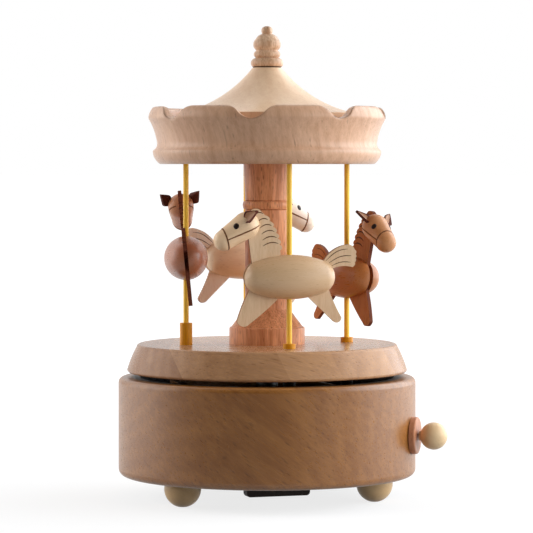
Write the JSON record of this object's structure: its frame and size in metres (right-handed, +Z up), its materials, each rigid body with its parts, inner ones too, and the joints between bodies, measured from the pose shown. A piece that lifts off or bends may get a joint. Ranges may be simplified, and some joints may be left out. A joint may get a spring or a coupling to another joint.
{
  "type": "wind up music box",
  "caption": "Turned wooden carousel music box: horses rise and fall on poles round a column under a scalloped canopy, driven by a wind up movement in the round base.",
  "frame": {"origin": "on the carousel axis, in the plane that the three feet stand on", "axes": "+Z up along the carousel axis, +X towards the stop knob"},
  "size_m": [0.123, 0.11, 0.1745],
  "materials": {
    "base_wood": "sanded and waxed beech",
    "platform_wood": "sanded and waxed beech",
    "column_wood": "sanded darker wood",
    "canopy_wood": "sanded and waxed beech",
    "roof_wood": "sanded pale wood",
    "pale_wood": "sanded pale wood",
    "cream_wood": "sanded pale wood with scorched plate edges",
    "brown_wood": "sanded brown wood with scorched plate edges",
    "pole_paint": "golden yellow paint",
    "sleeve_plastic": "amber moulded plastic",
    "key_paint": "black paint",
    "steel": "bright",
    "brass": "turned",
    "zinc": "die cast",
    "black_plastic": "moulded"
  },
  "bodies": {
    "base": {"base_shell": "base_wood", "ball_feet": "pale_wood", "knob_collar": "canopy_wood", "bedplate": "zinc", "bedplate_screws": "steel", "comb": "steel", "governor_bracket": "brass", "movement_screws": "steel", "cam_ring": "platform_wood", "clutch_spring": "steel"},
    "carousel": {"platform": "platform_wood", "column": "column_wood", "canopy_crown": "canopy_wood", "roof": "roof_wood", "finial": "roof_wood", "turntable_hub": "zinc", "hub_screws": "steel", "turntable_shaft": "steel", "crown_wheel": "brass", "spring_barrel": "brass", "mainspring": "steel"},
    "stop": {"stop_knob": "pale_wood", "stop_rod": "steel"},
    "key": {"winding_key": "key_paint", "winding_arbor": "steel"},
    "cylinder": {"cylinder_arbor": "brass", "music_cylinder": "brass"},
    "second": {"second_wheel": "brass"},
    "governor": {"governor_worm": "steel", "governor_fan": "black_plastic"},
    "front_horse": {"front_sleeve": "sleeve_plastic", "front_pole": "pole_paint", "front_horse_body": "cream_wood", "front_horse_head": "cream_wood", "front_horse_front_plate": "cream_wood", "front_horse_rear_plate": "cream_wood", "front_horse_ears": "cream_wood"},
    "right_horse": {"right_sleeve": "sleeve_plastic", "right_pole": "pole_paint", "right_horse_body": "brown_wood", "right_horse_head": "brown_wood", "right_horse_front_plate": "brown_wood", "right_horse_rear_plate": "brown_wood", "right_horse_ears": "brown_wood"},
    "back_horse": {"back_sleeve": "sleeve_plastic", "back_pole": "pole_paint", "back_horse_body": "cream_wood", "back_horse_head": "cream_wood", "back_horse_front_plate": "cream_wood", "back_horse_rear_plate": "cream_wood", "back_horse_ears": "cream_wood"},
    "left_horse": {"left_sleeve": "sleeve_plastic", "left_pole": "pole_paint", "left_horse_body": "brown_wood", "left_horse_head": "brown_wood", "left_horse_front_plate": "brown_wood", "left_horse_rear_plate": "brown_wood", "left_horse_ears": "brown_wood"}
  },
  "joints": [
    {"name": "carousel_spin", "type": "hinge", "parent": "base", "child": "carousel", "pos_m": [0, 0, 0], "axis": [0, 0, 1], "continuous": true},
    {"name": "stop_knob_slide", "type": "slide", "parent": "base", "child": "stop", "axis": [1, 0, 0], "range_m": [0, 0.0032]},
    {"name": "key_wind", "type": "hinge", "parent": "base", "child": "key", "pos_m": [0, 0, 0], "axis": [0, 0, 1], "range_deg": [-2160, 0]},
    {"name": "cylinder_spin", "type": "hinge", "parent": "base", "child": "cylinder", "pos_m": [0, 0, 0.02705], "axis": [0.9409, 0.3386, 0], "continuous": true},
    {"name": "second_wheel_spin", "type": "hinge", "parent": "base", "child": "second", "pos_m": [0.00228, -0.00634, 0.028], "axis": [0.9409, 0.3386, 0], "continuous": true},
    {"name": "governor_spin", "type": "hinge", "parent": "base", "child": "governor", "pos_m": [0.03613, 0, 0.02], "axis": [0, 0, 1], "continuous": true},
    {"name": "front_horse_lift", "type": "slide", "parent": "carousel", "child": "front_horse", "axis": [0, 0, 1], "range_m": [-0.00129, 0.00754]},
    {"name": "right_horse_lift", "type": "slide", "parent": "carousel", "child": "right_horse", "axis": [0, 0, 1], "range_m": [-0.00129, 0.00754]},
    {"name": "back_horse_lift", "type": "slide", "parent": "carousel", "child": "back_horse", "axis": [0, 0, 1], "range_m": [-0.00754, 0.00129]},
    {"name": "left_horse_lift", "type": "slide", "parent": "carousel", "child": "left_horse", "axis": [0, 0, 1], "range_m": [-0.00754, 0.00129]}
  ],
  "couplings": [
    {"joint": "cylinder_spin", "follows": "carousel_spin", "ratio": 3.6},
    {"joint": "second_wheel_spin", "follows": "carousel_spin", "ratio": -11.7},
    {"joint": "governor_spin", "follows": "carousel_spin", "ratio": -234}
  ]
}
